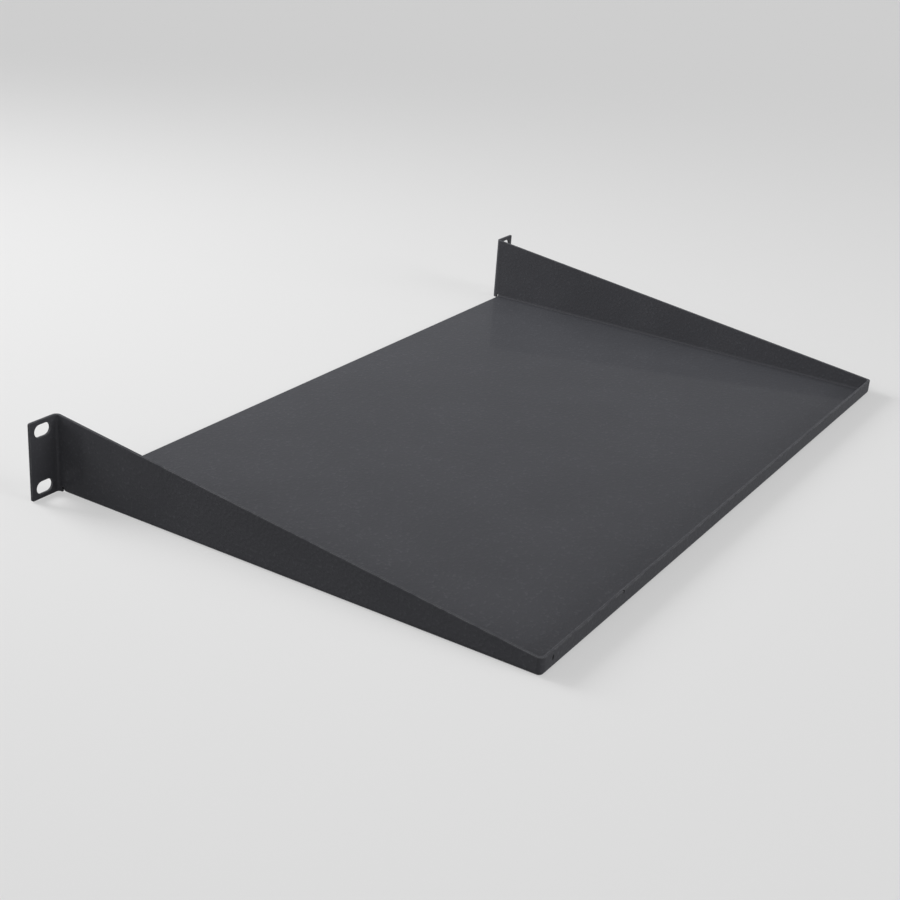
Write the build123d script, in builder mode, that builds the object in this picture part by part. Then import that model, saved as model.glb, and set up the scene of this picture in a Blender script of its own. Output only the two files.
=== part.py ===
from build123d import *
import os

# Rack shelf for one rack unit: a single steel sheet, folded into a shallow tray.
# X runs across the rack, Y from the rack's face to the rear, Z up.
# The origin is the middle of the four slots, on the ears' rear faces, which seat on the rack.

os.makedirs("parts", exist_ok=True)

# Rack standard
unit_height = 44.45      # height of one unit
unit_clearance = 0.79    # how much less than a unit the ears' height is
ear_span = 482.6         # over the outer edges of both ears
slot_inset_x = 8.75      # from an ear's outer edge to its slots' centres
slot_inset_z = 6.35      # from the unit's top or bottom to a slot's centre
slot_length = 11.0
slot_width = 7.0

# Sheet and folds
sheet = 1.5
bend_radius = 1.5        # inside every fold
ear_width = 18.3         # from an ear's outer edge to its flange's outer face
ear_corner_radius = 1.0

# Tray
tray_depth = 292.0       # from the ears' front faces to the rear lip's outer face
lip_height = 10.0        # from the pan's underside to the rear lip's top edge
ear_strip = 0.8          # flat flange between the ear's fold and the relief cut
relief_width = 1.2       # cut that parts the pan's fold from the ear
relief_margin = 0.6      # how far that cut runs up past the fold

# Derived sizes and places
outer_radius = bend_radius + sheet
panel_height = unit_height - unit_clearance
slot_pitch_x = ear_span - 2 * slot_inset_x
slot_pitch_z = unit_height - 2 * slot_inset_z
tray_width = ear_span - 2 * ear_width
flange_outer = tray_width / 2
flange_inner = flange_outer - sheet
flange_top = panel_height / 2
pan_underside = -unit_height / 2
lip_top = pan_underside + lip_height
lip_rear = tray_depth - sheet
ear_front = -sheet
pan_front = bend_radius + ear_strip + relief_width
relief_height = outer_radius + relief_margin

with BuildPart() as shelf_tray:
    # Tray at full height: outer form with its folds rounded, then hollowed to the sheet's thickness
    with BuildSketch(Plane.XY.offset(pan_underside)):
        with Locations((0, (pan_front + lip_rear) / 2)):
            Rectangle(tray_width, lip_rear - pan_front)
    extrude(amount=flange_top - pan_underside)
    rear_corners = shelf_tray.edges().filter_by(Axis.Z).group_by(Axis.Y)[-1]
    pan_folds = shelf_tray.faces().sort_by(Axis.Z)[0].edges().sort_by(Axis.Y)[1:]
    fillet(rear_corners + pan_folds, radius=outer_radius)
    open_top = shelf_tray.faces().sort_by(Axis.Z)[-1]
    open_front = shelf_tray.faces().sort_by(Axis.Y)[0]
    offset(amount=-sheet, openings=[open_top, open_front])

    # Ears: each side flange runs on past the pan and folds outwards along the rack's face
    with BuildSketch(Plane.XY.offset(-panel_height / 2)) as ear_section:
        with BuildLine():
            Polyline(
                (flange_inner, pan_front),
                (flange_inner, ear_front),
                (ear_span / 2, ear_front),
                (ear_span / 2, 0),
                (flange_outer, 0),
                (flange_outer, pan_front),
                close=True,
            )
        make_face()
        fillet(ear_section.vertices().sort_by_distance((flange_inner, ear_front))[0], outer_radius)
        fillet(ear_section.vertices().sort_by_distance((flange_outer, 0))[0], bend_radius)
        mirror(about=Plane.YZ)
    extrude(amount=panel_height)
    ear_corners = shelf_tray.edges().filter_by(Axis.Y).group_by(Axis.X)
    fillet(ear_corners[0] + ear_corners[-1], radius=ear_corner_radius)

    # Relief cut at the front end of each of the pan's side folds, with a round end
    with BuildSketch(Plane.YZ):
        with Locations((pan_front - relief_width / 2, pan_underside)):
            SlotOverall(2 * relief_height, relief_width, rotation=90)
    extrude(amount=ear_span / 2, both=True, mode=Mode.SUBTRACT)

    # Flanges fall in a straight line from the ears' full height to the lip's height
    with BuildSketch(Plane.YZ):
        with BuildLine():
            Polyline(
                (bend_radius, flange_top),
                (lip_rear - outer_radius, lip_top),
                (lip_rear + sheet, lip_top),
                (lip_rear + sheet, flange_top + sheet),
                (bend_radius, flange_top + sheet),
                close=True,
            )
        make_face()
    extrude(amount=ear_span / 2, both=True, mode=Mode.SUBTRACT)

    # Slots for the rack's screws, two in each ear
    with BuildSketch(Plane.XZ):
        with GridLocations(slot_pitch_x, slot_pitch_z, 2, 2):
            SlotOverall(slot_length, slot_width)
    extrude(amount=sheet, mode=Mode.SUBTRACT)

shelf_tray.part.label = "shelf_tray"
export_step(shelf_tray.part, "parts/shelf_tray.step")
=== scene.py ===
import math

import bpy
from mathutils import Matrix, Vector


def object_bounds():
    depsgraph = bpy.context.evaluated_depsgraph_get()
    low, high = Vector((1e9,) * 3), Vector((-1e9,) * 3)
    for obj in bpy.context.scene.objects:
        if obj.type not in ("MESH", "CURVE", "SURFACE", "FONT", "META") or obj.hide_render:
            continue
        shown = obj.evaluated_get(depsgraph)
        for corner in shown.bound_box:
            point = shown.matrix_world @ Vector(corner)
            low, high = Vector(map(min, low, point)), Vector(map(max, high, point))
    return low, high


# Rack shelf for one rack unit: one folded steel sheet with a dark pebbled powder coat.
# Metres throughout. X runs across the rack, Y from the rack's face to the rear, Z up.

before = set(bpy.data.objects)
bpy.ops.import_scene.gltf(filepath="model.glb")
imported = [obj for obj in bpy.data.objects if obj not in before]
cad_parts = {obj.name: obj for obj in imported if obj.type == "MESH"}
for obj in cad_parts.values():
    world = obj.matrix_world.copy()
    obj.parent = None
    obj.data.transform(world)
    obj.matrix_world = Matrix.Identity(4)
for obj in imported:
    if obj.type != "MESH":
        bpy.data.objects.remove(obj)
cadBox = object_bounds()
print("shelf: frame loaded, box in mm", [round(v * 1000, 2) for corner in cadBox for v in corner])

scene = bpy.context.scene
scene.view_settings.view_transform = "Standard"


def emptyTree(owner):
    owner.use_nodes = True
    owner.node_tree.nodes.clear()
    return owner.node_tree


def addNode(tree, kind, inputs=None, **settings):
    node = tree.nodes.new("ShaderNode" + kind)
    for key, value in settings.items():
        setattr(node, key, value)
    for name, value in (inputs or {}).items():
        socket = node.inputs[name]
        if isinstance(value, bpy.types.NodeSocket):
            tree.links.new(value, socket)
        else:
            socket.default_value = value
    return node


def addMath(tree, operation, *values):
    node = addNode(tree, "Math", dict(enumerate(values)), operation=operation)
    return node.outputs["Value"]


def addVectorMath(tree, operation, *values, result="Vector"):
    node = addNode(tree, "VectorMath", dict(enumerate(values)), operation=operation)
    return node.outputs[result]


def mixColor(tree, amount, first, second):
    node = addNode(tree, "Mix", {"Factor": amount, "A": first, "B": second}, data_type="RGBA")
    return node.outputs["Result"]


def mapRange(tree, value, low, high, toLow=0.0, toHigh=1.0, curve="SMOOTHSTEP"):
    node = addNode(tree, "MapRange", {"Value": value}, interpolation_type=curve)
    for name, number in zip(("From Min", "From Max", "To Min", "To Max"), (low, high, toLow, toHigh)):
        node.inputs[name].default_value = number
    return node.outputs["Result"]


def noise(tree, place, size, detail=2.0, roughness=0.5):
    # size is the width of one blob
    inputs = {"Vector": place, "Scale": 1 / size, "Detail": detail, "Roughness": roughness}
    return addNode(tree, "TexNoise", inputs).outputs["Fac"]


# Camera, where the photograph was taken from
cameraPlace = {
    "location": (0.7368, 0.5415, 0.3349),
    "rotation": (66.135, -3.876, 122.450),   # degrees; the second is the photograph's slight tilt
    "lens": 61.13,                           # millimetres, as is the sensor
    "sensor": 36.0,
    "nearest": 0.01,
    "farthest": 100.0,
}


def makeCamera():
    data = bpy.data.cameras.new("camera")
    data.lens = cameraPlace["lens"]
    data.sensor_width = cameraPlace["sensor"]
    data.clip_start = cameraPlace["nearest"]
    data.clip_end = cameraPlace["farthest"]
    camera = bpy.data.objects.new("camera", data)
    camera.location = cameraPlace["location"]
    camera.rotation_euler = [math.radians(angle) for angle in cameraPlace["rotation"]]
    scene.collection.objects.link(camera)
    scene.camera = camera
    print("shelf: camera placed")


# Powder coat: colours, its three noises, and the stretch of each noise over which a change comes in
coat = {
    "paint": (0.0490, 0.0495, 0.0550, 1.0),
    "paintThin": (0.0540, 0.0545, 0.0605, 1.0),   # cloudy patches where the coat is thinner
    # lighter tops of the pebbles: partly random flecks in the coat, partly a painted glint
    "pebbleFleckAndGlint": (0.0670, 0.0678, 0.0753, 1.0),  # tops of the pebbles
    "patches": {"size": 0.055, "detail": 3.0, "roughness": 0.6},
    "pebbles": {"size": 0.0018, "detail": 1.0},
    "grain": {"size": 0.00055, "roughness": 0.6},
    "thinStretch": (0.35, 0.68),                  # of the patches: full coat to thin coat
    "topStretch": (0.56, 0.76),                   # of the pebbles: none to all of their tone
    "fleckStretch": (0.35, 0.65),                 # of the patches: fewest to most pebbles toned
    "fleckAmounts": (0.4, 1.0),
    "mottleStretch": (0.70, 1.30),                # of grain and patches added: smooth to rough
    "roughness": (0.56, 0.68),
    "pebbleDepth": 0.000180,
    "grainDepth": 0.000020,
    "specular": 0.05,
    "gloss": 0.06,
    "glossRoughness": 0.08,
    "sheen": 0.10,
    "sheenRoughness": 0.30,
    "sheenTint": (0.80, 0.88, 1.0, 1.0),
}

# Cut edges, where the coat draws back and is rubbed in handling; their lighter tone is partly this wear,
# partly a painted highlight along the edges
edgeWearAndHighlight = {
    "reach": 0.0009,
    "samples": 6,
    "agreement": (0.998, 0.93),   # of the rounded and the true normal: no wear to full wear
    "patches": {"size": 0.006, "detail": 3.0},
    "patchStretch": (0.30, 0.56),
    # lighter edge colour: partly wear, partly a painted highlight on the cut edges
    "tone": (0.0980, 0.0988, 0.1040, 1.0),
    "roughness": 0.50,
}

# Painted shade: a darker band on the pan along the inside of the folds
foldShade = {
    "reach": 0.0065,
    "samples": 8,
    "openness": (0.96, 0.60),     # how open a place is where the shade begins, and where it is full
    "level": (0.05, 0.45),        # how far a face must look up to be in it
    # colour of the painted shade in the folds
    "tone": (0.0350, 0.0352, 0.0394, 1.0),
}

# Chips on the rear lip: centre and half the width of each
chips = {
    "spots": [((0.2133, 0.2905, -0.0157), 0.00095), ((0.1442, 0.2905, -0.0128), 0.00070)],
    "flatten": (1.0, 1.0, 0.62),  # each is taller than wide
    "ragged": 0.00035,
    "raggedSize": 0.0006,
    "rim": (0.75, 1.10),          # shares of the half width between which a chip ends
    "depth": 0.00018,
    "tone": (0.004, 0.004, 0.0045, 1.0),
}


# Mask for the lighter cut edges: partly wear, partly a painted highlight
def edgeWearAndHighlightMask(tree, place):
    # A cut edge is where the rounded normal leaves the face's own
    trueNormal = addNode(tree, "NewGeometry").outputs["Normal"]
    rounded = addNode(tree, "Bevel", {"Radius": edgeWearAndHighlight["reach"]}, samples=edgeWearAndHighlight["samples"])
    agreement = addVectorMath(tree, "DOT_PRODUCT", rounded.outputs["Normal"], trueNormal, result="Value")
    edge = mapRange(tree, agreement, *edgeWearAndHighlight["agreement"])
    edgePatches = mapRange(tree, noise(tree, place, **edgeWearAndHighlight["patches"]), *edgeWearAndHighlight["patchStretch"])
    return addMath(tree, "MULTIPLY", edge, edgePatches)


# Mask for the painted shade: closed places near the folds, on faces that look up
def foldShadeMask(tree, upward):
    openness = addNode(tree, "AmbientOcclusion", {"Distance": foldShade["reach"]},
                       samples=foldShade["samples"], only_local=True).outputs["AO"]
    shaded = mapRange(tree, openness, *foldShade["openness"])
    return addMath(tree, "MULTIPLY", shaded, mapRange(tree, upward, *foldShade["level"]))


def chipMask(tree, place):
    ragged = noise(tree, place, chips["raggedSize"])
    ragged = addMath(tree, "MULTIPLY_ADD", ragged, chips["ragged"] * 2, -chips["ragged"])
    rimInside, rimOutside = chips["rim"]
    mask = 0.0
    for centre, halfWidth in chips["spots"]:
        offset = addVectorMath(tree, "SUBTRACT", place, centre)
        offset = addVectorMath(tree, "MULTIPLY", offset, chips["flatten"])
        away = addMath(tree, "ADD", addVectorMath(tree, "LENGTH", offset, result="Value"), ragged)
        spot = mapRange(tree, away, halfWidth * rimInside, halfWidth * rimOutside, 1.0, 0.0)
        mask = addMath(tree, "MAXIMUM", spot, mask)
    return mask


def powderCoat():
    material = bpy.data.materials.new("powderCoat")
    tree = emptyTree(material)
    coordinates = addNode(tree, "TexCoord")
    place = coordinates.outputs["Object"]
    upward = addNode(tree, "SeparateXYZ", {0: coordinates.outputs["Normal"]}).outputs["Z"]

    # Slow patches in the coat, its pebbled surface, and the finer grain on that
    patches = noise(tree, place, **coat["patches"])
    pebbles = noise(tree, place, **coat["pebbles"])
    grain = noise(tree, place, **coat["grain"])
    edge = edgeWearAndHighlightMask(tree, place)
    chip = chipMask(tree, place)

    thin = mapRange(tree, patches, *coat["thinStretch"])
    color = mixColor(tree, thin, coat["paint"], coat["paintThin"])
    # pebble tops made lighter: partly flecks, partly a painted glint
    flecksAndGlints = mapRange(tree, patches, *coat["fleckStretch"], *coat["fleckAmounts"])
    flecksAndGlints = addMath(tree, "MULTIPLY", mapRange(tree, pebbles, *coat["topStretch"]), flecksAndGlints)
    color = mixColor(tree, flecksAndGlints, color, coat["pebbleFleckAndGlint"])
    # painted shade on the pan along the folds
    color = mixColor(tree, foldShadeMask(tree, upward), color, foldShade["tone"])
    # cut edges lighter: partly wear, partly a painted highlight
    color = mixColor(tree, edge, color, edgeWearAndHighlight["tone"])
    color = mixColor(tree, chip, color, chips["tone"])

    mottle = addMath(tree, "ADD", grain, patches)
    rough = mapRange(tree, mottle, *coat["mottleStretch"], *coat["roughness"], curve="LINEAR")
    rough = addNode(tree, "Mix", {"Factor": edge, "A": rough, "B": edgeWearAndHighlight["roughness"]}).outputs["Result"]

    # Relief, coarse to fine, then the chips cut into it
    relief = addNode(tree, "Bump", {"Height": pebbles, "Distance": coat["pebbleDepth"]}).outputs["Normal"]
    relief = addNode(tree, "Bump", {"Height": grain, "Distance": coat["grainDepth"],
                                    "Normal": relief}).outputs["Normal"]
    relief = addNode(tree, "Bump", {"Height": chip, "Distance": chips["depth"],
                                    "Normal": relief}, invert=True).outputs["Normal"]

    shader = addNode(tree, "BsdfPrincipled", {
        "Base Color": color,
        "Roughness": rough,
        "Specular IOR Level": coat["specular"],
        "Coat Weight": coat["gloss"],
        "Coat Roughness": coat["glossRoughness"],
        "Sheen Weight": coat["sheen"],
        "Sheen Roughness": coat["sheenRoughness"],
        "Sheen Tint": coat["sheenTint"],
        "Normal": relief,
    })
    addNode(tree, "OutputMaterial", {"Surface": shader.outputs["BSDF"]})
    return material


# Sheet: the CAD solid, its flats cleared of needless triangles and its cut edges softened by the coat
sheetMesh = {
    "weldWithin": 0.000001,
    "flatWithin": 0.5,       # degrees
    "edgeRadius": 0.00025,
    "edgeSegments": 3,
    "edgeAngle": 50.0,       # degrees: takes the cut edges and leaves the folds
    "faceWeight": 100,
}


def dressSheet():
    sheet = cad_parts["shelf_tray"]
    weld = sheet.modifiers.new("weld", "WELD")
    weld.merge_threshold = sheetMesh["weldWithin"]
    flats = sheet.modifiers.new("flats", "DECIMATE")
    flats.decimate_type = "DISSOLVE"
    flats.angle_limit = math.radians(sheetMesh["flatWithin"])
    soften = sheet.modifiers.new("softEdges", "BEVEL")
    soften.width = sheetMesh["edgeRadius"]
    soften.segments = sheetMesh["edgeSegments"]
    soften.limit_method = "ANGLE"
    soften.angle_limit = math.radians(sheetMesh["edgeAngle"])
    soften.use_clamp_overlap = False
    soften.miter_outer = "MITER_ARC"
    shade = sheet.modifiers.new("evenShade", "WEIGHTED_NORMAL")
    shade.mode = "FACE_AREA"
    shade.weight = sheetMesh["faceWeight"]
    sheet.data.materials.clear()
    sheet.data.materials.append(powderCoat())
    print("shelf: sheet dressed")


# Studio: floor, pale surroundings and soft light
floor = {
    "size": 80.0,
    "drop": 0.00005,                        # how far it lies under the shelf
    "seen": (0.30, 0.30, 0.30, 1.0),        # lit part of the pale floor that camera and gloss see
    "glow": 0.45,                           # the rest of it, which evens out the lights
    "bounced": (0.10, 0.10, 0.10, 1.0),     # what lights the shelf's sides from below
}

surroundings = {
    "seen": (0.78, 0.78, 0.78, 1.0),
    "light": (0.16, 0.16, 0.16, 1.0),
}

# Broad lights: where each comes from, how wide it is in degrees, and how strong
suns = {
    "front": ((1.20, -2.00, 1.30), 32.0, 0.70),
    "left": ((2.00, 0.15, 1.20), 36.0, 0.80),
    "rear": ((-0.28, 2.20, 0.65), 36.0, 1.76),
}

# Soft box close in front of the shelf, so that the light falls off towards the rear
softBox = {
    "location": (0.25, -1.30, 0.70),
    "aim": (0.0, 0.12, 0.0),
    "size": 0.8,
    "watts": 5.5,
    "spread": 70.0,          # degrees: its grid keeps it off the floor in front of it
}


def seenDirectly(tree):
    # one for the rays that show the studio itself: to the camera, mirrored, or seen through
    path = addNode(tree, "LightPath")
    seen = addMath(tree, "MAXIMUM", path.outputs["Is Camera Ray"], path.outputs["Is Glossy Ray"])
    return addMath(tree, "MAXIMUM", seen, path.outputs["Is Transmission Ray"])


def makeFloor():
    half = floor["size"] / 2
    corners = [(-half, -half, 0), (half, -half, 0), (half, half, 0), (-half, half, 0)]
    mesh = bpy.data.meshes.new("floor")
    mesh.from_pydata(corners, [], [(0, 1, 2, 3)])
    plane = bpy.data.objects.new("floor", mesh)
    plane.location.z = cadBox[0].z - floor["drop"]
    scene.collection.objects.link(plane)
    material = bpy.data.materials.new("floor")
    tree = emptyTree(material)
    seen = seenDirectly(tree)
    lit = addNode(tree, "BsdfDiffuse", {"Color": mixColor(tree, seen, floor["bounced"], floor["seen"])})
    glow = addNode(tree, "Emission", {"Strength": addMath(tree, "MULTIPLY", seen, floor["glow"])})
    both = addNode(tree, "AddShader", {0: lit.outputs["BSDF"], 1: glow.outputs["Emission"]})
    addNode(tree, "OutputMaterial", {"Surface": both.outputs["Shader"]})
    mesh.materials.append(material)
    print("shelf: floor laid")


def placeLight(data, place, direction):
    light = bpy.data.objects.new(data.name, data)
    light.location = place
    light.rotation_euler = Vector(direction).to_track_quat("Z", "Y").to_euler()
    scene.collection.objects.link(light)


def makeLights():
    for name, (direction, width, strength) in suns.items():
        data = bpy.data.lights.new(name, "SUN")
        data.angle = math.radians(width)
        data.energy = strength
        placeLight(data, direction, direction)
    data = bpy.data.lights.new("softBox", "AREA")
    data.size = softBox["size"]
    data.energy = softBox["watts"]
    data.spread = math.radians(softBox["spread"])
    place = Vector(softBox["location"])
    placeLight(data, place, place - Vector(softBox["aim"]))
    print("shelf: lights hung")


def makeSurroundings():
    world = bpy.data.worlds.new("surroundings")
    tree = emptyTree(world)
    color = mixColor(tree, seenDirectly(tree), surroundings["light"], surroundings["seen"])
    background = addNode(tree, "Background", {"Color": color})
    addNode(tree, "OutputWorld", {"Surface": background.outputs["Background"]})
    scene.world = world
    print("shelf: surroundings made")


makeCamera()
dressSheet()
makeFloor()
makeLights()
makeSurroundings()
